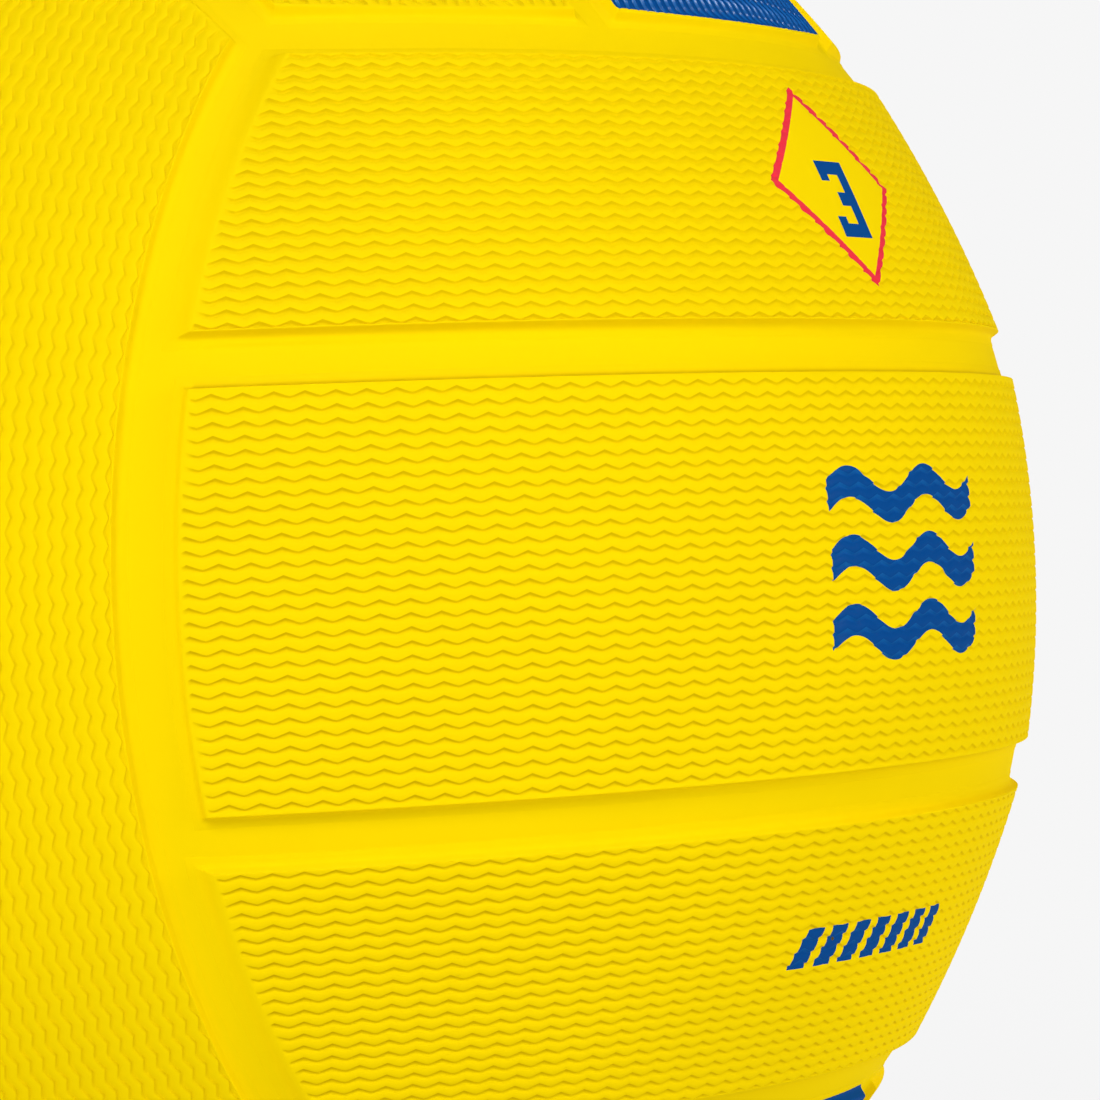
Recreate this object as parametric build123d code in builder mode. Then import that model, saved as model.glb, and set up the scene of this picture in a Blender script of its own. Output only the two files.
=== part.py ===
"""Water polo ball of junior size: eighteen moulded rubber strips on a wound, inflated carcass.

The strips lie in six faces of three, and each face's strips run across its neighbours' strips.
The origin is the ball's centre, +Z is up, and every face looks along an axis of the frame.
"""
import os
from math import acos, asin, cos, degrees, radians, sin, sqrt, tan

from build123d import *

# Ball and the layers of its wall, in millimetres
ball_diameter = 191.0  # over the strips' raised edges, 600 round by a tape
panel_rise = 1.2  # a strip's top edge above the smooth channel floor
carcass_wall = 0.6  # yellow rubber that shows as the channel floor
winding_wall = 0.3  # nylon filament wound on the bladder
bladder_wall = 0.7  # butyl rubber that holds the air

# Strips of the cover
middle_strip_width = 40.8  # straight across the middle strip of a face
channel_width = 5.6  # along the ball, between the top edges of two strips
crown_flattening = 0.45  # how far a strip's middle lies inside the ball's round outline
wall_draft = 20.0  # lean of a strip's side wall, in degrees
edge_round = 0.35  # rounding of a strip's top edge
cement_film = 0.03  # under a strip, and between the bladder and the valve's flange

# Needle valve, in the middle strip of the back face
valve_recess = 0.5  # head of the valve below the strip's crown
valve_clearance = 0.08  # all round a valve piece in its hole
needle_radius = 1.05  # guide bore for a pump needle
needle_depth = 9.0  # straight wall of the guide bore
funnel_flare = 0.85  # the mouth's extra radius, which leads the needle in
funnel_depth = 0.9
core_wall = 1.45  # rubber round the guide bore
core_head_overhang = 0.9  # head beyond the stem
core_head_height = 1.2
core_stem_length = 15.6  # from under the head to the end of the lips
core_ring_depth = 6.5  # from under the head to the ring that keeps the core in
core_ring_height = 1.8
core_ring_rise = 0.55  # ring beyond the stem
lip_length = 3.0  # tapered end, shut by two lips
lip_wall = 0.65  # rubber beside the slit's ends
slit_width = 0.2  # between the lips
housing_wall = 1.3  # rubber round the core's head
flange_overhang = 6.2  # disc bonded inside the bladder, beyond the neck
flange_wall = 1.0  # at the neck
flange_rim_wall = 0.5

# Radii of the layers
ball_radius = ball_diameter / 2
crown_radius = ball_radius - crown_flattening
floor_radius = ball_radius - panel_rise
foot_radius = floor_radius + cement_film
winding_radius = floor_radius - carcass_wall
bladder_radius = winding_radius - winding_wall
air_radius = bladder_radius - bladder_wall

# Top edges of the strips, in degrees from the middle plane of their face
face_corner = degrees(asin(1 / sqrt(3)))  # three faces meet at a cube's corner
channel_turn = degrees(channel_width / ball_radius)
wall_turn = degrees((ball_radius - foot_radius) * tan(radians(wall_draft)) / ball_radius)
middle_edge = degrees(asin(middle_strip_width / 2 / ball_radius))
outer_low_edge = middle_edge + channel_turn
outer_high_edge = face_corner - channel_turn / 2
end_edge = degrees(acos(1 / sqrt(3))) - channel_turn / 2  # from the face's outward axis
strip_edges = (
    (-outer_high_edge, -outer_low_edge),
    (-middle_edge, middle_edge),
    (outer_low_edge, outer_high_edge),
)

# Valve radii, and levels along +Y
core_radius = needle_radius + core_wall
head_radius = core_radius + core_head_overhang
socket_radius = core_radius + valve_clearance
head_socket_radius = head_radius + valve_clearance
housing_radius = head_socket_radius + housing_wall
housing_hole_radius = housing_radius + valve_clearance
flange_radius = housing_radius + flange_overhang
flange_seat_radius = air_radius - cement_film
valve_top = crown_radius - valve_recess
head_seat = valve_top - core_head_height
ring_level = head_seat - core_ring_depth
lip_end = head_seat - core_stem_length
lip_top = lip_end + lip_length
bore_mouth = valve_top - funnel_depth
bore_end = bore_mouth - needle_depth

# Faces: z_dir looks outwards, x_dir runs along the strips and y_dir across them
centre = (0, 0, 0)
faces = {
    "right": Plane(centre, x_dir=(0, 1, 0), z_dir=(1, 0, 0)),
    "left": Plane(centre, x_dir=(0, -1, 0), z_dir=(-1, 0, 0)),
    "front": Plane(centre, x_dir=(0, 0, -1), z_dir=(0, -1, 0)),
    "back": Plane(centre, x_dir=(0, 0, 1), z_dir=(0, 1, 0)),
    "top": Plane(centre, x_dir=(1, 0, 0), z_dir=(0, 0, 1)),
    "bottom": Plane(centre, x_dir=(-1, 0, 0), z_dir=(0, 0, -1)),
}
# Names of a face's strips in the order of strip_edges, which is along y_dir
strip_names = {
    "right": ("lower", "middle", "upper"),
    "left": ("lower", "middle", "upper"),
    "front": ("left", "middle", "right"),
    "back": ("left", "middle", "right"),
    "top": ("front", "middle", "back"),
    "bottom": ("front", "middle", "back"),
}
valve_strip = ("back", "middle")
# Planes of a strip's section, outwards first and then across, on its own side of the ball and beyond it
near_side = Plane(centre, x_dir=(0, 0, 1), z_dir=(-1, 0, 0))
far_side = Plane(centre, x_dir=(0, 0, -1), z_dir=(1, 0, 0))


def polar(radius, latitude):
    """Point of a cross-section, outwards first and then across the face."""
    return (radius * cos(radians(latitude)), radius * sin(radians(latitude)))


def strip_lines(low, high):
    """Cross-section of a strip: a thin crowned band with leaning side walls."""
    middle = (low + high) / 2
    top_low, top_high = polar(ball_radius, low), polar(ball_radius, high)
    foot_low, foot_high = polar(foot_radius, low - wall_turn), polar(foot_radius, high + wall_turn)
    Spline(top_low, polar(crown_radius, middle), top_high)
    Line(top_high, foot_high)
    ThreePointArc(foot_high, polar(foot_radius, middle), foot_low)
    Line(foot_low, top_low)


def end_cone_lines():
    """Half of a cone round a face's outward axis, whose wall leans as the strips' ends do."""
    top = polar(ball_radius, end_edge)
    foot = polar(foot_radius, end_edge + wall_turn)
    slope = (top[1] - foot[1]) / (top[0] - foot[0])
    near = foot[1] - slope * foot[0]
    reach = 2 * ball_radius
    Polyline(centre, (0, near), (reach, near + slope * reach), (reach, 0), close=True)


def strip_part(low, high):
    """One strip of a face that looks along +Z: its section turned about Y into a ring, ended by a cone."""
    with BuildPart() as strip:
        with BuildSketch(far_side):  # keeps the ring's own seam off the strip
            with BuildLine():
                strip_lines(low, high)
            make_face()
        revolve(axis=Axis.Y)
        with BuildSketch(near_side):
            with BuildLine():
                end_cone_lines()
            make_face()
        revolve(axis=Axis.Z, mode=Mode.INTERSECT)
        crown = strip.faces().sort_by(Axis.Z)[-1]
        fillet(crown.edges(), radius=edge_round)
    return strip


def panel_part(strip, face, holds_valve):
    """A strip set into its face of the ball, with the valve's hole where it holds the valve."""
    with BuildPart() as panel:
        with Locations(face.location):
            add(strip.part)
        if holds_valve:
            cut_valve_hole()
    return panel


def cut_valve_hole():
    """Round hole for the valve's neck, through the back wall of the part being built."""
    with Locations(faces["back"].offset(ball_radius).location):
        Hole(housing_hole_radius, depth=ball_radius)


def layer_part(outer, inner):
    """One layer of the wall: a hollow ball with the valve's hole."""
    with BuildPart() as layer:
        Sphere(outer)
        Sphere(inner, mode=Mode.SUBTRACT)
        cut_valve_hole()
    return layer


def keeper_arc(radius):
    """Round bulge of the core's ring, or of its groove, on a stem or socket of this radius."""
    half = core_ring_height / 2
    ThreePointArc(
        (radius, ring_level + half), (radius + core_ring_rise, ring_level), (radius, ring_level - half)
    )
    return (radius, ring_level + half), (radius, ring_level - half)


def write(piece, name):
    """Label a finished piece and write it as its own file."""
    piece.part.label = name
    export_step(piece.part, f"parts/{name}.step")


os.makedirs("parts", exist_ok=True)

# Layers, from the air outwards
write(layer_part(bladder_radius, air_radius), "bladder")
write(layer_part(winding_radius, bladder_radius), "nylon_winding")
write(layer_part(floor_radius, winding_radius), "rubber_carcass")

# Cover
strips = [strip_part(low, high) for low, high in strip_edges]
for face_name, face in faces.items():
    for strip_name, strip in zip(strip_names[face_name], strips):
        panel = panel_part(strip, face, (face_name, strip_name) == valve_strip)
        write(panel, f"{face_name}_panel_{strip_name}")

# Valve housing: a neck through the wall, a flange under the bladder and a socket for the core
flange_half_radius = (housing_radius + flange_radius) / 2
flange_inner, flange_half, flange_outer = (
    (radius, sqrt(flange_seat_radius**2 - radius**2))
    for radius in (housing_radius, flange_half_radius, flange_radius)
)
with BuildPart() as valve_housing:
    with BuildSketch():
        with BuildLine():
            Polyline(
                (socket_radius, head_seat),
                (head_socket_radius, head_seat),
                (head_socket_radius, valve_top),
                (housing_radius, valve_top),
                flange_inner,
            )
            ThreePointArc(flange_inner, flange_half, flange_outer)
            groove_top, groove_bottom = keeper_arc(socket_radius)
            Polyline(
                flange_outer,
                (flange_radius, flange_outer[1] - flange_rim_wall),
                (housing_radius, flange_inner[1] - flange_wall),
                (housing_radius, lip_top),
                (socket_radius, lip_top),
                groove_bottom,
            )
            Line(groove_top, (socket_radius, head_seat))
        make_face()
    revolve(axis=Axis.Y)
write(valve_housing, "valve_housing")

# Valve core: a headed plug with a funnel and a guide bore for the needle, shut by two lips
with BuildPart() as valve_core:
    with BuildSketch():
        with BuildLine():
            ring_top, ring_bottom = keeper_arc(core_radius)
            Polyline(
                ring_top,
                (core_radius, head_seat),
                (head_radius, head_seat),
                (head_radius, valve_top),
                (needle_radius + funnel_flare, valve_top),
                (needle_radius, bore_mouth),
                (needle_radius, bore_end),
                (0, bore_end),
                (0, lip_end),
                (needle_radius + lip_wall, lip_end),
                (core_radius, lip_top),
                ring_bottom,
            )
        make_face()
    revolve(axis=Axis.Y)
    with BuildSketch(Plane.XZ.offset(-bore_end)):
        Rectangle(2 * needle_radius, slit_width)
    extrude(amount=bore_end - lip_end, mode=Mode.SUBTRACT)
write(valve_core, "valve_core")
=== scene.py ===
"""Water polo ball: the moulded grip of its cover, its prints, its valve and a pale photo stage."""

from math import acos, asin, pi, radians, sqrt

import bpy
import numpy as np
from bpy.props import FloatProperty, FloatVectorProperty, PointerProperty
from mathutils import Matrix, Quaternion, Vector


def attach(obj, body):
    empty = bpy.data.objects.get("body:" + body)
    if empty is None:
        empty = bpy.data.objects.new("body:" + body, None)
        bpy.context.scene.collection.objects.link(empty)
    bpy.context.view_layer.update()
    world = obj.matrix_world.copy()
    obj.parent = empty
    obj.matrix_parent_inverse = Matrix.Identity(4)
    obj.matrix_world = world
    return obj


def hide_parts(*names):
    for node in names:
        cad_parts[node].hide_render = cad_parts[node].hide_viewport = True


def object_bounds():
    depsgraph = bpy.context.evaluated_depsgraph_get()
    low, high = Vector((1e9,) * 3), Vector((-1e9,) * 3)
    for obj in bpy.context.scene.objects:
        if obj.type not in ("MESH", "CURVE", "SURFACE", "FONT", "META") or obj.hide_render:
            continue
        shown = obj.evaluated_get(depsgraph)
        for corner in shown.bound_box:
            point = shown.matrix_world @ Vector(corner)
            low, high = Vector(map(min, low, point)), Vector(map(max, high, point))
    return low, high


bl_info = {
    "name": "Water Polo Ball",
    "version": (1, 0, 0),
    "blender": (4, 5, 0),
    "location": "3D View > Sidebar > Water Polo Ball",
    "description": "Grip cover, prints, valve and photo stage of a junior water polo ball",
    "category": "Object",
}

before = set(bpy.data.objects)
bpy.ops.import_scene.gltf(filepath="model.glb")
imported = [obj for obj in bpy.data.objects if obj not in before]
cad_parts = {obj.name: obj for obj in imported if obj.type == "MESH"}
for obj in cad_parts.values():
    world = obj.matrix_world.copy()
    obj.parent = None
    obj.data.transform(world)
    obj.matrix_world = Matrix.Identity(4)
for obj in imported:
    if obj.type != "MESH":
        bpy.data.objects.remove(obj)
cad_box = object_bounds()

MM = 0.001  # metres in a millimetre

# Faces of the ball: outwards, along the strips and across them, then the strips' names along the last axis
FACES = {
    "right": ((1, 0, 0), (0, 1, 0), (0, 0, 1), ("lower", "middle", "upper")),
    "left": ((-1, 0, 0), (0, -1, 0), (0, 0, 1), ("lower", "middle", "upper")),
    "front": ((0, -1, 0), (0, 0, -1), (1, 0, 0), ("left", "middle", "right")),
    "back": ((0, 1, 0), (0, 0, 1), (1, 0, 0), ("left", "middle", "right")),
    "top": ((0, 0, 1), (1, 0, 0), (0, 1, 0), ("front", "middle", "back")),
    "bottom": ((0, 0, -1), (-1, 0, 0), (0, 1, 0), ("front", "middle", "back")),
}
VALVE_STRIP = "back_panel_middle"
# Blue strips, and how far their ink runs over their ends, in millimetres
BLUE_STRIPS = {"top_panel_middle": 0.0, "bottom_panel_middle": 1.7}
# Where the zigzag starts on a face's three strips, in waves, and where the rows start, in rows
WAVE_STARTS = (0.80, 0.15, 0.45)
ROW_STARTS = (-0.105, 0.43, 0.995)
# Faces whose rows are moulded the other way up, and their share of the grooves' tint, less painted shade
# where the light runs along the grooves
TURNED_FACES = {"front": 0.45}
# Share of the grooves' tint, painted shade and dirt, at the ball's middle, and what it gains at the front
# and loses at the back, as painted shade that pales where the light fills the grooves
MIDDLE_SHADE_AND_DIRT = 0.68
FRONT_SHADE_GAIN = 0.55
# Painted shade and dirt halfway up the zigzag, and what a crest's hollow corner gains and a trough loses
ZIGZAG_SHADE_AND_DIRT = 0.85
CREST_SHADE_AND_DIRT = 0.25
# Phases of a wave that get a column of points: one at its pointed crest and three round its trough
WAVE_COLUMNS = (0.25, 0.62, 0.75, 0.88)
# One row of the grip from its groove upwards: place in rows, then shares of the groove's depth, of the
# zigzag's swing and of the groove's tint, which is painted shade and dirt: sharp under the row above and
# fading below it like a cast shadow
ROW_SHAPE = (
    (-0.10, 1.0, 0.75, 0.45),
    (-0.01, 0.86, 0.92, 0.9),
    (0.05, 0.50, 1.0, 1.0),
    (0.10, 0.14, 1.0, 0.9),
    (0.145, 0.0, 1.0, 0.0),
    (0.52, 0.08, 0.65, 0.0),
    (0.76, 0.52, 0.62, 0.0),
)
# Long edge of a strip, from the start of its rounding to its root: outwards and down, in millimetres, and
# the painted shade in the crease at its root, a dark line that shows along a middle strip's upper edge
SHOULDER = (
    (-0.08, 0.0, 0.0),
    (-0.03, 0.014, 0.0),
    (0.01, 0.05, 0.0),
    (0.05, 0.12, 0.3),
    (0.09, 0.23, 0.8),
    (0.22, 0.62, 1.0),
    (0.32, 0.86, 1.0),
    (0.46, 1.01, 0.7),
    (0.70, 1.11, 0.15),
    (1.05, 1.18, 0.0),
    (1.50, 1.215, 0.0),
)
# End of a strip in the same way, without a tint
END_SHOULDER = (
    (-0.85, 0.0),
    (-0.72, 0.025),
    (-0.62, 0.09),
    (-0.54, 0.21),
    (-0.46, 0.37),
    (-0.33, 0.66),
    (-0.20, 0.90),
    (-0.06, 1.05),
    (0.12, 1.14),
    (0.42, 1.20),
    (0.80, 1.215),
)
# End of an upper or lower strip, which reaches further and slopes gently
SOFT_END = (
    (-0.10, 0.0),
    (0.05, 0.025),
    (0.22, 0.09),
    (0.42, 0.21),
    (0.62, 0.37),
    (0.92, 0.66),
    (1.22, 0.90),
    (1.52, 1.05),
    (1.82, 1.14),
    (2.15, 1.20),
    (2.50, 1.215),
)
# Size mark: its strip and, in millimetres on that strip's UV map, its height and half its breadth
SIZE_STRIP = "right_panel_upper"
SIZE_HEIGHT = 41.5
SIZE_HALF = 11.3
SIZE_FADE = (-0.6, 0.1)  # from the diamond's line, over which the grip fades in
# Grip near a strip's edges, in metres
SQUEEZE = 0.05 * MM  # room to the edge within which lines of the grip crowd
EDGE_FADE = (-0.06 * MM, 0.10 * MM)  # room to the edge over which the grip fades in
END_GAP = 0.06 * MM  # least room between a column of the grip and the start of an end
LONG_EDGE_INK = 0.95 * MM  # blue ink comes this much nearer to a long edge than to an end
# Underside of a strip: inside its foot, and above the channel floor
UNDER_INSET = 0.2 * MM
UNDER_GAP = 0.06 * MM
UNDER_LINES = 24
UNDER_COLUMNS = 64
# Blue ink stops this far from a strip's end, plus a share of the next length by a noise of this scale
INK_STOP = 0.9 * MM
INK_RAGGED = 0.2 * MM
INK_NOISE = 900.0
INK_COAT = 0.06  # weight of the gloss on any blue ink
# Cutter of the valve's hole, from below the ball's outline to above it, in millimetres
HOLE_LEVELS = (-3.0, 1.0)
HOLE_COLUMNS = 96
NOUGHT = 1e-9  # metres from the axis that count as none
SHARP_FOLD = radians(60)  # a fold beyond this shows as an edge
# Smooth carcass: lines on its inner and outer face, and columns round the valve's axis
INNER_LINES = 41
OUTER_LINES = 101
CARCASS_COLUMNS = 180
# Rubber: scales of its noises per metre, factor and start of the drift of tone, depth of the grain, and the
# share of cells that hold a speck of dirt, with the speck's radius in cells
DRIFT_SCALE = 38.0
DRIFT_TONE = (0.07, 0.965)
GRAIN_SCALE = 2600.0
GRAIN_DEPTH = 0.03 * MM
SPECK_SCALE = 230.0
SPECK_SHARE = 0.028
SPECK_RADIUS = 0.055
# Lights: place in metres, and side of the square
LIGHTS = {
    "key": ((0.355, -0.88, 0.57), 0.5),
    "side": ((0.92, 0.36, 0.22), 0.6),
    "back": ((-0.75, 0.75, 0.35), 0.7),
    "glint": ((0.38, -0.20, 0.83), 0.2),
}
# The room's light fills up from the first of these heights of its direction down to the second
FILL_FADE = (0.95, 0.25)
# The floor takes a shadow from the first of these distances in to the second, up to this share
SHADOW_FADE = (0.6, 0.12)
SHADOW_SHARE = 0.03


def length(name, description, default):
    """A size in metres that a user may change."""
    return FloatProperty(
        name=name, description=description, default=default, min=0, unit="LENGTH", precision=5
    )


def number(name, description, default):
    """A plain number, not below nought, that a user may change."""
    return FloatProperty(name=name, description=description, default=default, min=0)


def angle(name, description, default):
    """An angle in radians that a user may change."""
    return FloatProperty(name=name, description=description, default=default, subtype="ANGLE")


def point(name, description, default):
    """A point in metres that a user may change."""
    return FloatVectorProperty(
        name=name, description=description, default=default, subtype="XYZ", precision=5
    )


def colour(name, description, default):
    """A linear colour that a user may change."""
    return FloatVectorProperty(
        name=name, description=description, default=default, size=3, min=0, max=1, subtype="COLOR"
    )


class BALL_PG_cover(bpy.types.PropertyGroup):
    """Sizes of the eighteen strips and of the layer under them"""

    ball_radius: length("Ball radius", "Over the strips' raised edges", 95.5 * MM)
    rise: length("Strip rise", "Top edge of a strip above the channel floor", 1.2 * MM)
    flattening: length("Crown flattening", "Middle of a strip inside the ball's round outline", 0.45 * MM)
    middle_width: length("Middle strip width", "Straight across the middle strip", 40.25 * MM)
    channel: length("Channel width", "Between the top edges of two strips", 5.6 * MM)
    row_pitch: length("Row pitch", "From one row of the grip to the next", 1.338 * MM)
    groove_depth: length("Groove depth", "Groove between two rows", 0.22 * MM)
    wave_height: length("Zigzag height", "Swing of a row to each side", 0.26 * MM)
    wave_sharpness: FloatProperty(
        name="Zigzag sharpness",
        description="From 0, a sine, to 1, straight lines",
        default=0.85,
        min=0.1,
        max=0.99,
    )
    middle_wave: angle("Middle zigzag", "One wave on a middle strip", radians(1.805))
    outer_wave: angle("Outer zigzag", "One wave on an outer strip", radians(1.878))
    end_fade: length("End fade", "Over which the grip fades in at a strip's ends", 0.35 * MM)
    valve_hole: length("Valve hole", "Radius of the valve's hole", 4.86 * MM)
    valve_ring: length("Valve ring", "Radius of the smooth ring round the valve", 6.4 * MM)
    carcass_wall: length("Carcass wall", "Rubber under the channels", 0.6 * MM)


class BALL_PG_colours(bpy.types.PropertyGroup):
    """Colours of the rubber and of the inks"""

    yellow: colour("Yellow rubber", "Rubber of the cover and of the channels", (0.945, 0.682, 0.0008))
    # Painted shade and dirt: the darker colour that the grooves' tint mixes into the yellow
    groove: colour("Groove shade and dirt", "Rubber at the bottom of the grip's grooves", (0.74, 0.505, 0.0006))
    blue: colour("Blue ink", "Ink of the two blue strips and of the blue prints", (0.001, 0.064, 0.265))
    # Painted highlight: a paler blue that the grooves' tint mixes into the ink, as glints along the grooves
    ink_glint: colour("Painted ink glint", "Blue ink where it lies in a groove", (0.006, 0.14, 0.45))
    red: colour("Red ink", "Ink of the size mark's frame", (0.84, 0.038, 0.062))
    dirt: colour("Dirt", "Specks in the grip", (0.10, 0.07, 0.02))
    black: colour("Black rubber", "Rubber of the valve's housing", (0.012, 0.012, 0.013))
    core: colour("Valve rubber", "Rubber of the valve's core", (0.03, 0.03, 0.032))
    butyl: colour("Butyl rubber", "Rubber of the bladder", (0.02, 0.019, 0.018))
    nylon: colour("Nylon", "Filament wound on the bladder", (0.72, 0.70, 0.62))


class BALL_PG_stage(bpy.types.PropertyGroup):
    """Camera, lights and floor of the photo"""

    camera_place: point("Camera", "Place of the camera", (0.31523, -0.39284, 0.00573))
    camera_aim: point("Aim", "Point in the middle of the picture", (0.0330, 0.0225, 0.0031))
    camera_roll: angle("Roll", "Lean of the camera", radians(-2.487))
    lens: FloatProperty(name="Lens", description="Focal length in millimetres", default=143.03, min=1)
    backdrop: number("Backdrop", "Brightness of the backdrop", 0.922)
    fill: number("Fill", "Light from the room", 0.45)
    bounce: number("Bounce", "Light from the floor", 0.76)
    key_power: number("Key light", "Power in watts", 7.0)
    side_power: number("Side light", "Power in watts", 3.65)
    back_power: number("Back light", "Power in watts", 4.5)
    glint_power: number("Glint light", "Power in watts of the shine on ink", 23.0)
    floor_radius: length("Floor radius", "Reach of the pale floor", 8.0)


def wave(phase, sharpness):
    """Zigzag between -1 and 1: the arcsine of a damped sine, over its greatest value."""
    return np.arcsin(sharpness * np.sin(2 * pi * phase)) / asin(sharpness)


def ease(values, start, end):
    """0 before start, 1 after end and a smooth step between them."""
    share = np.clip((values - start) / (end - start), 0, 1)
    return share * share * (3 - 2 * share)


def grid_triangles(index):
    """Two triangles for each cell of a grid of point numbers, without those that have shrunk to a line."""
    corners = index[:-1, :-1], index[:-1, 1:], index[1:, 1:], index[1:, :-1]
    a, b, c, d = (corner.ravel() for corner in corners)
    triangles = np.concatenate((np.stack((a, b, c), 1), np.stack((a, c, d), 1)))
    first, second, third = triangles.T
    return triangles[(first != second) & (second != third) & (third != first)]


def zip_triangles(fine, coarse):
    """Triangles between two lines of point numbers that run side by side with different counts."""
    fine = fine[np.append(True, fine[1:] != fine[:-1])]
    partner = np.round(np.arange(len(fine)) * (len(coarse) - 1) / (len(fine) - 1)).astype(int)
    near = np.stack((fine[1:], fine[:-1], coarse[partner[:-1]]), 1)
    steps = np.flatnonzero(np.diff(partner))
    far = np.stack((coarse[partner[steps]], coarse[partner[steps] + 1], fine[steps + 1]), 1)
    return np.concatenate((near, far))


def new_piece(name, points, triangles, uv=None, values=None):
    """An object at the origin with this smooth triangle mesh, its UV map and its values at points."""
    used, corners = np.unique(triangles, return_inverse=True)
    corners = corners.ravel().astype(np.int32)
    mesh = bpy.data.meshes.new(name)
    mesh.vertices.add(len(used))
    mesh.vertices.foreach_set("co", points[used].astype(np.float32).ravel())
    mesh.loops.add(len(corners))
    mesh.loops.foreach_set("vertex_index", corners)
    mesh.polygons.add(len(corners) // 3)
    mesh.polygons.foreach_set("loop_start", np.arange(0, len(corners), 3, dtype=np.int32))
    mesh.update(calc_edges=True)
    mesh.shade_smooth()
    mesh.set_sharp_from_angle(angle=SHARP_FOLD)
    if uv is not None:
        layer = mesh.uv_layers.new(name="Strip")
        layer.data.foreach_set("uv", uv[used][corners].astype(np.float32).ravel())
    for key, numbers in (values or {}).items():
        layer = mesh.attributes.new(key, "FLOAT", "POINT")
        layer.data.foreach_set("value", numbers[used].astype(np.float32))
    piece = bpy.data.objects.new(name, mesh)
    bpy.context.scene.collection.objects.link(piece)
    return piece


def on_ball(axes, longitude, latitude, radius):
    """Points at these radii: sines and cosines of longitude and latitude weigh the three axes."""
    outward, along, across = (np.array(axis, float) for axis in axes)
    level = radius * np.cos(latitude)
    return (
        (level * np.cos(longitude))[..., None] * outward
        + (level * np.sin(longitude))[..., None] * along
        + (radius * np.sin(latitude))[..., None] * across
    )


def row_lines(sizes, half, start, turned):
    """Lines of the grip, lowest first: place across a strip, and depth, swing and tint as columns."""
    shape, *shares = np.array(ROW_SHAPE).T
    reach = int(half / sizes.row_pitch) + 3
    rows = np.arange(-reach, reach)
    place = (rows[:, None] + shape).ravel()
    place = (start + (-place if turned else place)) * sizes.row_pitch
    kept = np.flatnonzero(np.abs(place) < half + sizes.wave_height)
    order = kept[np.argsort(place[kept])]
    return place[order], *(np.tile(share, len(rows))[order, None] for share in shares)


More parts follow.
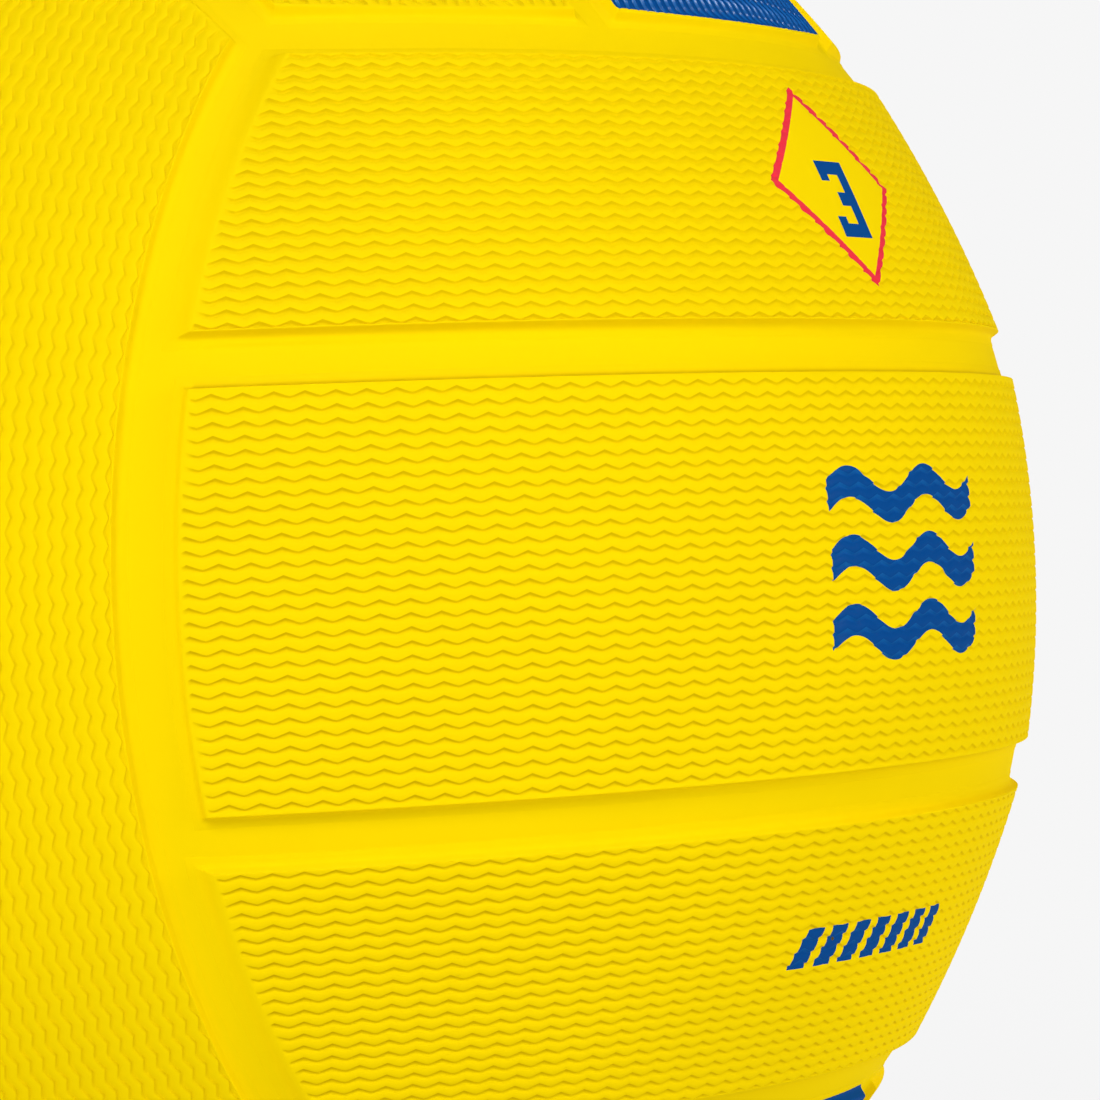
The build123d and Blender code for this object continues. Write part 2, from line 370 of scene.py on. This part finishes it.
def strip_piece(node, axes, low, high, period, wave_start, row_start, turned_shade, sizes):
    """One strip of the cover, as a closed surface over longitude along it and latitude across it.

    Every line follows a row of the grip: its latitude is its place plus the zigzag of the longitude, and
    lines that would cross the strip's edge crowd along it. The radius is the ball's, less the crown's
    flattening, less the row's groove, less the shoulder's drop at the edges. The ends lie on a cone round
    the outward axis, so a line ends where the product of the cosines of longitude and latitude falls to
    the cosine of the cone's angle. A coarse surface closes the strip below. On a turned face the rows are
    the other way up and take the given share of the tint.
    """
    ball = sizes.ball_radius
    floor = ball - sizes.rise
    end_angle = acos(1 / sqrt(3)) - sizes.channel / ball / 2
    middle = (low + high) / 2
    half = (high - low) / 2 * ball
    side_out, side_drop, side_shade = np.array(SHOULDER).T * ((MM,), (MM,), (1.0,))
    out, drop = np.array(SOFT_END if node.endswith(("_upper", "_lower")) else END_SHOULDER).T * MM
    edge = half + side_out[0]
    place, depth, swing, tint = row_lines(sizes, edge, row_start, turned_shade is not None)
    side = np.full((len(side_out), 1), half) + side_out[:, None]
    flat = np.zeros((len(side_out), 1))
    depth = np.concatenate((flat, depth, flat))
    tint = np.concatenate((flat, tint, flat))
    line_drop = np.concatenate((side_drop[::-1], np.zeros(len(place)), side_drop))
    # Painted shade in the crease at the root of a middle strip's upper edge
    root_shade = np.concatenate((np.zeros(len(place) + len(side_shade)), side_shade))[:, None]
    root_shade = root_shade * node.endswith("_middle")

    def place_at(longitude):
        """Place of every line at these longitudes, and its room to the edge before crowding."""
        zigzag = wave(longitude / period + wave_start, sizes.wave_sharpness)
        rows = slice(len(side_out), -len(side_out))
        swung = place[:, None] + swing * sizes.wave_height * zigzag[rows]
        room = edge - np.abs(swung)
        crowded = (room + np.sqrt(room**2 + 4 * SQUEEZE**2)) / 2
        swung = np.sign(swung) * (edge - crowded)
        border = np.broadcast_to(side, (len(side), longitude.shape[1]))
        none = np.zeros(border.shape)
        return np.concatenate((-border[::-1], swung, border)), np.concatenate((none, room, none))

    def end_longitude(latitude, outwards):
        """Longitude at which a line of this latitude meets the end cone, moved outwards along the ball."""
        return np.arccos(np.cos(end_angle + outwards / ball) / np.cos(latitude))

    reach = int(end_angle / period) + 3
    phase = (np.arange(-reach, reach)[:, None] + np.array(WAVE_COLUMNS)).ravel()
    core = np.broadcast_to((phase - wave_start) * period, (len(depth), len(phase)))
    limit = end_longitude(middle + place_at(core)[0] / ball, out[0] - END_GAP)
    ends = []
    for sign in (-1, 1):
        end = np.broadcast_to(sign * end_angle, (len(depth), len(out)))
        for _ in range(5):  # a line's place at its end depends on the end's longitude
            end = sign * end_longitude(middle + place_at(end)[0] / ball, out)
        ends.append(end)
    longitude = np.concatenate((ends[0][:, ::-1], core, ends[1]), 1)
    across, room = place_at(longitude)
    latitude = middle + across / ball
    column_drop = np.concatenate((drop[::-1], np.zeros(len(phase)), drop))

    index = np.arange(longitude.size).reshape(longitude.shape)
    first, last = len(out) - 1, len(out) + len(phase)
    inner = index[:, first + 1 : last]
    inner = np.where(core > limit, index[:, last : last + 1], inner)
    inner = np.where(core < -limit, index[:, first : first + 1], inner)
    index = np.concatenate((index[:, : first + 1], inner, index[:, last:]), 1)

    from_axis = np.arccos(np.cos(latitude) * np.cos(longitude))
    to_end = (end_angle - from_axis) * ball
    crown = ball - sizes.flattening * np.clip(1 - (across / half) ** 2, 0, 1)
    fall = np.maximum(line_drop[:, None], column_drop)
    off_end = ease(to_end, -out[0], -out[0] + sizes.end_fade)
    grip = off_end * ease(room, *EDGE_FADE)
    if node == VALVE_STRIP:
        grip = grip * ease(from_axis * ball, sizes.valve_ring, sizes.valve_ring + sizes.end_fade)
    if node == SIZE_STRIP:
        spread = np.abs(longitude * np.cos(latitude)) * ball + np.abs(latitude * ball - SIZE_HEIGHT * MM)
        grip = grip * ease(spread, *((SIZE_HALF + part) * MM for part in SIZE_FADE))
    radius = crown - (crown - floor) * fall / sizes.rise - sizes.groove_depth * grip * depth
    shell = on_ball(axes, longitude, latitude, radius)
    zigzag = wave(longitude / period + wave_start, sizes.wave_sharpness)
    # Painted shade and dirt in the grooves, deeper at the crests and paler towards the back and on turned
    # faces
    groove = grip * tint * (ZIGZAG_SHADE_AND_DIRT + CREST_SHADE_AND_DIRT * zigzag)
    groove = groove * (MIDDLE_SHADE_AND_DIRT - FRONT_SHADE_GAIN * shell[..., 1] / ball) * (turned_shade or 1.0)
    # The painted shade in a middle strip's root crease joins the grooves' tint
    groove = np.maximum(groove, root_shade * off_end)
    end_ink = BLUE_STRIPS.get(node, 0.0) * MM
    inset = np.minimum(half - np.abs(across) + LONG_EDGE_INK, to_end + end_ink)

    under_low, under_high = latitude[0, 0] + UNDER_INSET / ball, latitude[-1, 0] - UNDER_INSET / ball
    under_latitude = np.linspace(under_low, under_high, UNDER_LINES)[:, None]
    share = np.linspace(-1, 1, UNDER_COLUMNS)
    under_longitude = share * end_longitude(under_latitude, out[-1] - UNDER_INSET)
    under_latitude = np.broadcast_to(under_latitude, under_longitude.shape)
    under = index.size + np.arange(under_longitude.size).reshape(under_longitude.shape)
    triangles = np.concatenate(
        (
            grid_triangles(index),
            grid_triangles(under)[:, ::-1],
            zip_triangles(index[0], under[0]),
            zip_triangles(index[:, -1], under[:, -1]),
            zip_triangles(index[-1, ::-1], under[-1, ::-1]),
            zip_triangles(index[::-1, 0], under[::-1, 0]),
        )
    )
    under_radius = np.full(under.shape, floor + UNDER_GAP)
    points = np.concatenate(
        (
            shell.reshape(-1, 3),
            on_ball(axes, under_longitude, under_latitude, under_radius).reshape(-1, 3),
        )
    )
    all_longitude = np.concatenate((longitude.ravel(), under_longitude.ravel()))
    all_latitude = np.concatenate((latitude.ravel(), under_latitude.ravel()))
    uv = ball * np.stack((all_longitude * np.cos(all_latitude), all_latitude), 1)
    below = np.zeros(under.size)
    values = {
        "groove": np.concatenate((groove.ravel(), below)),
        "inset": np.concatenate((inset.ravel(), below - sizes.rise)),
    }
    return new_piece(node + "_grip", points, triangles, uv, values)


def lathe_piece(name, radius, height, columns):
    """A closed profile of radii and heights, turned about Y: a point on the axis stays one point."""
    turn = 2 * pi * np.arange(columns + 1) / columns
    radius, height, turn = radius[:, None], height[:, None], turn[None, :]
    points = np.stack((radius * np.sin(turn), height + 0 * turn, radius * np.cos(turn)), -1)
    index = np.arange(points.shape[0] * points.shape[1]).reshape(points.shape[:2])
    index[:, -1] = index[:, 0]
    index = np.where(radius < NOUGHT, index[:, :1], index)
    index[-1] = index[0]
    return new_piece(name, points.reshape(-1, 3), grid_triangles(index))


def cut(piece, tool):
    """Take the tool's shape out of the piece and remove the tool."""
    modifier = piece.modifiers.new("Hole", "BOOLEAN")
    modifier.operation = "DIFFERENCE"
    modifier.solver = "MANIFOLD"
    modifier.object = tool
    graph = bpy.context.evaluated_depsgraph_get()
    finished = bpy.data.meshes.new_from_object(piece.evaluated_get(graph))
    piece.modifiers.clear()
    rough, piece.data = piece.data, finished
    finished.name = piece.name
    bpy.data.meshes.remove(rough)
    bpy.data.meshes.remove(tool.data)


class Tree:
    """Adds nodes to a node tree: inputs are numbers, colours or other nodes' outputs."""

    def __init__(self, tree):
        self.tree = tree
        tree.nodes.clear()

    def node(self, kind, inputs=None, **settings):
        """A new node of this kind with its settings and inputs."""
        made = self.tree.nodes.new(kind)
        for key, value in settings.items():
            setattr(made, key, value)
        for key, value in (inputs or {}).items():
            if isinstance(value, bpy.types.NodeSocket):
                self.tree.links.new(value, made.inputs[key])
            else:
                made.inputs[key].default_value = value
        return made

    def math(self, operation, *values):
        """The result of this operation on these values."""
        return self.node("ShaderNodeMath", dict(enumerate(values)), operation=operation).outputs[0]

    def both(self, first, second):
        """Where two masks overlap."""
        return self.math("MULTIPLY", first, second)

    def within(self, value, reach):
        """A mask of where the value lies less than reach to either side of nought."""
        return self.math("LESS_THAN", self.math("ABSOLUTE", value), reach)

    def mix(self, share, first, second, blend="MIX"):
        """The first colour blended with a share of the second."""
        inputs = {"Factor": share, 6: first, 7: second}
        return self.node("ShaderNodeMix", inputs, data_type="RGBA", blend_type=blend).outputs[2]

    def step(self, value, start, end):
        """0 before start, 1 after end."""
        inputs = {"Value": value, 1: start, 2: end}
        return self.node("ShaderNodeMapRange", inputs, interpolation_type="SMOOTHSTEP").outputs[0]

    def noise(self, scale, detail=2.0):
        """Noise between 0 and 1 at the object's own coordinates."""
        place = self.node("ShaderNodeTexCoord").outputs["Object"]
        inputs = {"Vector": place, "Scale": scale, "Detail": detail}
        return self.node("ShaderNodeTexNoise", inputs).outputs["Fac"]

    def attribute(self, name):
        """A value that the mesh holds at its points."""
        return self.node("ShaderNodeAttribute", attribute_name=name).outputs["Fac"]


def new_group(name, inputs, outputs):
    """An empty node group with these sockets, its tree and its inputs by name."""
    group = bpy.data.node_groups.new(name, "ShaderNodeTree")
    for key, kind in inputs.items():
        group.interface.new_socket(key, in_out="INPUT", socket_type=kind)
    for key, kind in outputs.items():
        group.interface.new_socket(key, in_out="OUTPUT", socket_type=kind)
    tree = Tree(group)
    return group, tree, tree.node("NodeGroupInput").outputs


def rubber_group():
    """Moulded rubber: a slow drift of tone, a fine grain for the bump and a few specks of dirt."""
    floats = "NodeSocketFloat"
    group, tree, _ = new_group("Moulded rubber", {}, {"Tone": floats, "Grain": floats, "Specks": floats})
    drift = tree.math("MULTIPLY_ADD", tree.noise(DRIFT_SCALE), *DRIFT_TONE)
    place = tree.node("ShaderNodeTexCoord").outputs["Object"]
    cells = tree.node("ShaderNodeTexVoronoi", {"Vector": place, "Scale": SPECK_SCALE})
    chance = tree.node("ShaderNodeSeparateColor", {0: cells.outputs["Color"]}).outputs[0]
    rare = tree.math("GREATER_THAN", chance, 1 - SPECK_SHARE)
    near = tree.math("LESS_THAN", cells.outputs["Distance"], SPECK_RADIUS)
    grain = tree.noise(GRAIN_SCALE, 3.0)
    tree.node("NodeGroupOutput", {0: drift, 1: grain, 2: tree.both(rare, near)})
    return group


def print_place(tree, place, left, up):
    """The place on the strip's UV map from this centre, as its two parts in millimetres."""
    parts = tree.node("ShaderNodeSeparateXYZ", {0: place}).outputs
    across = tree.math("MULTIPLY_ADD", parts[0], 1 / MM, -left)
    return across, tree.math("MULTIPLY_ADD", parts[1], 1 / MM, -up)


def size_mark_group():
    """Size mark: a diamond's outline round a digit 3 of straight strokes, both as masks."""
    floats = "NodeSocketFloat"
    outputs = {"Frame": floats, "Digit": floats}
    group, tree, given = new_group("Size mark", {"Place": "NodeSocketVector"}, outputs)
    half_line = 0.62  # of the diamond, in millimetres as all that follows
    digit_drop = 1.8
    half_width = 2.7
    half_height = 4.5
    stroke = 1.6
    upright_width = 1.8
    hook_length = 2.4
    tongue_start = -0.7
    x, y = print_place(tree, given[0], 0.0, SIZE_HEIGHT)
    spread = tree.math("ADD", tree.math("ABSOLUTE", x), tree.math("ABSOLUTE", y))
    outline = tree.within(tree.math("SUBTRACT", spread, SIZE_HALF), half_line)
    up = tree.math("ABSOLUTE", tree.math("ADD", y, digit_drop))
    inside = tree.both(tree.within(x, half_width), tree.math("LESS_THAN", up, half_height))
    bars = tree.math("GREATER_THAN", up, half_height - stroke)
    hook_side = tree.math("LESS_THAN", x, stroke - half_width)
    hooks = tree.both(hook_side, tree.math("GREATER_THAN", up, half_height - hook_length))
    tongue_side = tree.math("GREATER_THAN", x, tongue_start)
    tongue = tree.both(tongue_side, tree.math("LESS_THAN", up, stroke / 2))
    upright = tree.math("GREATER_THAN", x, half_width - upright_width)
    ends = tree.math("MAXIMUM", bars, hooks)
    strokes = tree.math("MAXIMUM", ends, tree.math("MAXIMUM", tongue, upright))
    tree.node("NodeGroupOutput", {0: outline, 1: tree.both(inside, strokes)})
    return group


def wave_mark_group():
    """Plain motif: three bands, one above the other, that swing like water, as a mask."""
    group, tree, given = new_group("Wave mark", {"Place": "NodeSocketVector"}, {"Ink": "NodeSocketFloat"})
    centre = (-2.8, 0.7)  # on the strip's UV map, in millimetres as all that follows
    wave_length = 14.0
    wave_swing = 1.4
    half_pitch = 3.5  # from the middle of a band to the middle of a gap
    half_band = 1.6
    half_height = 9.0
    half_width = 14.0
    x, y = print_place(tree, given[0], *centre)
    turn = tree.math("MULTIPLY", x, 2 * pi / wave_length)
    swing = tree.math("MULTIPLY", tree.math("SINE", turn), wave_swing)
    height = tree.math("SUBTRACT", y, swing)
    raised = tree.math("ADD", height, 20 * half_pitch)  # so that it is above nought on the whole strip
    in_band = tree.math("LESS_THAN", tree.math("PINGPONG", raised, half_pitch), half_band)
    framed = tree.both(tree.within(height, half_height), tree.within(x, half_width))
    tree.node("NodeGroupOutput", {0: tree.both(in_band, framed)})
    return group


def bar_mark_group():
    """Plain motif: a row of slanted bars, as a mask."""
    group, tree, given = new_group("Bar mark", {"Place": "NodeSocketVector"}, {"Ink": "NodeSocketFloat"})
    centre = (0.0, -39.5)  # on the strip's UV map, in millimetres as all that follows but the lean
    lean = -0.35
    half_pitch = 2.1  # from the middle of a bar to the middle of a gap
    half_bar = 1.35
    half_height = 2.2
    half_width = 14.2
    x, y = print_place(tree, given[0], *centre)
    slant = tree.math("MULTIPLY_ADD", y, lean, x)
    raised = tree.math("ADD", slant, 20 * half_pitch)  # so that it is above nought on the whole mark
    in_bar = tree.math("LESS_THAN", tree.math("PINGPONG", raised, half_pitch), half_bar)
    framed = tree.both(tree.within(y, half_height), tree.within(slant, half_width))
    tree.node("NodeGroupOutput", {0: tree.both(in_bar, framed)})
    return group


def shared(name, make):
    """The node group of this name, made on first use."""
    return bpy.data.node_groups.get(name) or make()


def solid(value):
    """A colour property with full alpha."""
    return (*value, 1.0)


def surface(tree, base, roughness, specular, grain, coat=None):
    """The material's shader and output, with a fine bump of the grain and a coat where one is given."""
    bump = tree.node("ShaderNodeBump", {"Height": grain, "Distance": GRAIN_DEPTH, "Strength": 0.5})
    inputs = {
        "Base Color": base,
        "Roughness": roughness,
        "Specular IOR Level": specular,
        "Normal": bump.outputs[0],
    }
    if coat is not None:
        inputs["Coat Weight"] = coat
        inputs["Coat Roughness"] = 0.2
    shader = tree.node("ShaderNodeBsdfPrincipled", inputs)
    tree.node("ShaderNodeOutputMaterial", {"Surface": shader.outputs[0]})


def new_material(name):
    """An empty material and its tree."""
    material = bpy.data.materials.new(name)
    material.use_nodes = True
    return material, Tree(material.node_tree)


def yellow_rubber(name, colours, mark=None, blue=False):
    """Yellow rubber of the cover or of the channels, with a print on it or all blue on its outer face."""
    material, tree = new_material(name)
    rubber = tree.node("ShaderNodeGroup", node_tree=shared("Moulded rubber", rubber_group)).outputs
    # Painted shade and dirt: the grooves' tint darkens the yellow
    base = tree.mix(tree.attribute("groove"), solid(colours.yellow), solid(colours.groove))
    grey = tree.node("ShaderNodeCombineColor", dict.fromkeys(range(3), rubber["Tone"])).outputs[0]
    base = tree.mix(1.0, base, grey, "MULTIPLY")
    ink = None
    if blue:
        ragged = tree.math("MULTIPLY_ADD", tree.noise(INK_NOISE), INK_RAGGED, INK_STOP)
        ink = tree.math("GREATER_THAN", tree.attribute("inset"), ragged)
    elif mark:
        place = tree.node("ShaderNodeUVMap", uv_map="Strip").outputs[0]
        masks = tree.node("ShaderNodeGroup", {"Place": place}, node_tree=shared(*mark)).outputs
        if "Frame" in masks:
            base = tree.mix(masks["Frame"], base, solid(colours.red))
        ink = masks["Digit"] if "Digit" in masks else masks["Ink"]
    if ink is not None:
        # Painted highlight: the ink pales in the grooves as if it shone there
        glinting_ink = tree.mix(tree.attribute("groove"), solid(colours.blue), solid(colours.ink_glint))
        base = tree.mix(ink, base, glinting_ink)
    base = tree.mix(rubber["Specks"], base, solid(colours.dirt))
    coat = tree.math("MULTIPLY", ink, INK_COAT) if ink is not None else None
    surface(tree, base, roughness=0.7, specular=0.004, grain=rubber["Grain"], coat=coat)
    return material


def plain_rubber(name, tint, roughness, specular):
    """Rubber or filament of one colour with a slow drift of tone."""
    material, tree = new_material(name)
    rubber = tree.node("ShaderNodeGroup", node_tree=shared("Moulded rubber", rubber_group)).outputs
    dark = tuple(0.8 * part for part in tint)
    base = tree.mix(rubber["Tone"], solid(dark), solid(tint))
    surface(tree, base, roughness, specular, rubber["Grain"])
    return material


def paint(piece, material):
    """Give the piece this material alone."""
    piece.data.materials.clear()
    piece.data.materials.append(material)


def add_light(name, place, size, power):
    """A square area light that looks at the ball's centre."""
    light = bpy.data.lights.new(name, "AREA")
    light.energy = power
    light.size = size
    lamp = bpy.data.objects.new(name, light)
    lamp.location = place
    lamp.rotation_mode = "QUATERNION"
    lamp.rotation_quaternion = (-Vector(place)).to_track_quat("-Z", "Y")
    bpy.context.scene.collection.objects.link(lamp)
    return lamp


class BALL_OT_cover(bpy.types.Operator):
    """Make the eighteen strips of the cover with their grip and prints"""

    bl_idname = "ball.cover"
    bl_label = "Cover strips"

    def execute(self, context):
        sizes, colours = context.scene.ball_cover, context.scene.ball_colours
        corner = asin(1 / sqrt(3))
        turn = sizes.channel / sizes.ball_radius
        middle_edge = asin(sizes.middle_width / 2 / sizes.ball_radius)
        inner_edge = middle_edge + turn
        bands = (
            (turn / 2 - corner, -inner_edge, sizes.outer_wave),
            (-middle_edge, middle_edge, sizes.middle_wave),
            (inner_edge, corner - turn / 2, sizes.outer_wave),
        )
        grip = yellow_rubber("Grip rubber", colours)
        blue = yellow_rubber("Blue printed rubber", colours, blue=True)
        marks = {
            SIZE_STRIP: ("Size mark", size_mark_group),
            "right_panel_middle": ("Wave mark", wave_mark_group),
            "right_panel_lower": ("Bar mark", bar_mark_group),
        }
        marked = {
            node: yellow_rubber(f"Grip rubber, {mark[0].lower()}", colours, mark)
            for node, mark in marks.items()
        }
        for face, (outward, along, across, names) in FACES.items():
            axes = (outward, along, across)
            turned_shade = TURNED_FACES.get(face)
            for strip, wave_start, row_start, band in zip(names, WAVE_STARTS, ROW_STARTS, bands):
                node = f"{face}_panel_{strip}"
                piece = strip_piece(node, axes, *band, wave_start, row_start, turned_shade, sizes)
                if node == VALVE_STRIP:
                    below, above = HOLE_LEVELS
                    rim = np.array((0.0, sizes.valve_hole, sizes.valve_hole, 0.0, 0.0))
                    level = sizes.ball_radius + np.array((below, below, above, above, below)) * MM
                    cut(piece, lathe_piece("valve_hole_tool", rim, level, HOLE_COLUMNS))
                if node in BLUE_STRIPS:
                    paint(piece, blue)
                else:
                    paint(piece, marked.get(node, grip))
                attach(piece, "root")
                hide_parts(node)
        return {"FINISHED"}


class BALL_OT_carcass(bpy.types.Operator):
    """Make the smooth yellow layer that shows in the channels"""

    bl_idname = "ball.carcass"
    bl_label = "Rubber carcass"

    def execute(self, context):
        sizes = context.scene.ball_cover
        outer = sizes.ball_radius - sizes.rise
        inner = outer - sizes.carcass_wall
        hole = sizes.valve_hole
        inner_angle = np.linspace(asin(hole / inner), pi, INNER_LINES)
        outer_angle = np.linspace(pi, asin(hole / outer), OUTER_LINES)
        radius = np.concatenate((inner * np.sin(inner_angle), outer * np.sin(outer_angle)))
        height = np.concatenate((inner * np.cos(inner_angle), outer * np.cos(outer_angle)))
        radius[np.abs(radius) < NOUGHT] = 0.0
        radius, height = np.append(radius, radius[0]), np.append(height, height[0])
        piece = lathe_piece("rubber_carcass_smooth", radius, height, CARCASS_COLUMNS)
        paint(piece, yellow_rubber("Smooth yellow rubber", context.scene.ball_colours))
        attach(piece, "root")
        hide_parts("rubber_carcass")
        return {"FINISHED"}


class BALL_OT_valve(bpy.types.Operator):
    """Paint the needle valve's housing and core"""

    bl_idname = "ball.valve"
    bl_label = "Needle valve"

    def execute(self, context):
        colours = context.scene.ball_colours
        housing = plain_rubber("Black rubber", colours.black, roughness=0.55, specular=0.4)
        core = plain_rubber("Valve rubber", colours.core, roughness=0.5, specular=0.4)
        paint(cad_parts["valve_housing"], housing)
        paint(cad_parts["valve_core"], core)
        return {"FINISHED"}


class BALL_OT_layers(bpy.types.Operator):
    """Paint the bladder and the winding inside the ball"""

    bl_idname = "ball.layers"
    bl_label = "Inner layers"

    def execute(self, context):
        colours = context.scene.ball_colours
        butyl = plain_rubber("Butyl rubber", colours.butyl, roughness=0.6, specular=0.3)
        nylon = plain_rubber("Nylon filament", colours.nylon, roughness=0.5, specular=0.4)
        paint(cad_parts["bladder"], butyl)
        paint(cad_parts["nylon_winding"], nylon)
        return {"FINISHED"}


class BALL_OT_stage(bpy.types.Operator):
    """Set the pale floor, the lights and the camera of the photo"""

    bl_idname = "ball.stage"
    bl_label = "Photo stage"

    def execute(self, context):
        scene, stage = context.scene, context.scene.ball_stage
        scene.view_settings.view_transform = "Standard"
        scene.world = bpy.data.worlds.new("Pale studio")
        scene.world.use_nodes = True
        tree = Tree(scene.world.node_tree)
        seen = tree.node("ShaderNodeLightPath").outputs["Is Camera Ray"]
        place = tree.node("ShaderNodeTexCoord").outputs["Generated"]
        height = tree.node("ShaderNodeSeparateXYZ", {0: place}).outputs[2]
        dim = tree.math("MULTIPLY", tree.step(height, *FILL_FADE), stage.fill)
        glow = tree.node("ShaderNodeMix", {"Factor": seen, 2: dim, 3: stage.backdrop}).outputs[0]
        sky = tree.node("ShaderNodeBackground", {"Strength": glow, "Color": (1.0, 1.0, 1.0, 1.0)})
        tree.node("ShaderNodeOutputWorld", {"Surface": sky.outputs[0]})

        level = cad_box[0].z
        corners = np.array(((-1, -1, 0), (1, -1, 0), (1, 1, 0), (-1, 1, 0))) * stage.floor_radius
        corners[:, 2] = level
        floor = new_piece("floor", corners, np.array(((0, 1, 2), (0, 2, 3))))
        material, tree = new_material("Pale floor")
        place = tree.node("ShaderNodeTexCoord").outputs["Object"]
        reach = tree.node("ShaderNodeVectorMath", {0: place}, operation="LENGTH").outputs["Value"]
        share = tree.math("MULTIPLY", tree.step(reach, *SHADOW_FADE), SHADOW_SHARE)
        seen = tree.node("ShaderNodeLightPath").outputs["Is Camera Ray"]
        level_glow = tree.math("MULTIPLY_ADD", seen, stage.backdrop - stage.bounce, stage.bounce)
        glow = tree.node("ShaderNodeEmission", {"Strength": level_glow})
        paper = tree.node("ShaderNodeBsdfDiffuse", {"Color": (0.8, 0.8, 0.8, 1.0)})
        both = tree.node("ShaderNodeMixShader", {0: share, 1: glow.outputs[0], 2: paper.outputs[0]})
        tree.node("ShaderNodeOutputMaterial", {"Surface": both.outputs[0]})
        paint(floor, material)

        for name, (spot, size) in LIGHTS.items():
            lamp = add_light(name, spot, size, getattr(stage, f"{name}_power"))
            lamp.visible_diffuse = name != "glint"  # which only shines

        lens = bpy.data.cameras.new("camera")
        lens.lens = stage.lens
        camera = bpy.data.objects.new("camera", lens)
        camera.location = stage.camera_place
        ahead = Vector(stage.camera_aim) - Vector(stage.camera_place)
        level_turn = ahead.to_track_quat("-Z", "Y")
        camera.rotation_mode = "QUATERNION"
        camera.rotation_quaternion = level_turn @ Quaternion((0, 0, 1), stage.camera_roll)
        scene.collection.objects.link(camera)
        scene.camera = camera
        return {"FINISHED"}


class BALL_PT_parts(bpy.types.Panel):
    """Lists the ball's pieces and the stage"""

    bl_idname = "BALL_PT_parts"
    bl_label = "Water Polo Ball"
    bl_space_type = "VIEW_3D"
    bl_region_type = "UI"
    bl_category = "Water Polo Ball"

    def draw(self, context):
        for operator in OPERATORS:
            self.layout.operator(operator.bl_idname)
        for group in ("ball_cover", "ball_colours", "ball_stage"):
            box = self.layout.box()
            settings = getattr(context.scene, group)
            for key in settings.bl_rna.properties.keys():
                if key not in ("rna_type", "name"):
                    box.prop(settings, key)


GROUPS = {"ball_cover": BALL_PG_cover, "ball_colours": BALL_PG_colours, "ball_stage": BALL_PG_stage}
OPERATORS = (BALL_OT_cover, BALL_OT_carcass, BALL_OT_valve, BALL_OT_layers, BALL_OT_stage)


def register():
    """Make the settings, the operators and the panel known."""
    for key, group in GROUPS.items():
        bpy.utils.register_class(group)
        setattr(bpy.types.Scene, key, PointerProperty(type=group))
    for operator in OPERATORS:
        bpy.utils.register_class(operator)
    bpy.utils.register_class(BALL_PT_parts)


def unregister():
    """Take the panel, the operators and the settings away."""
    bpy.utils.unregister_class(BALL_PT_parts)
    for operator in reversed(OPERATORS):
        bpy.utils.unregister_class(operator)
    for key, group in reversed(GROUPS.items()):
        delattr(bpy.types.Scene, key)
        bpy.utils.unregister_class(group)


def main():
    """Make every piece and the stage."""
    register()
    bpy.ops.ball.cover()
    bpy.ops.ball.carcass()
    bpy.ops.ball.valve()
    bpy.ops.ball.layers()
    bpy.ops.ball.stage()


if __name__ == "__main__":
    main()
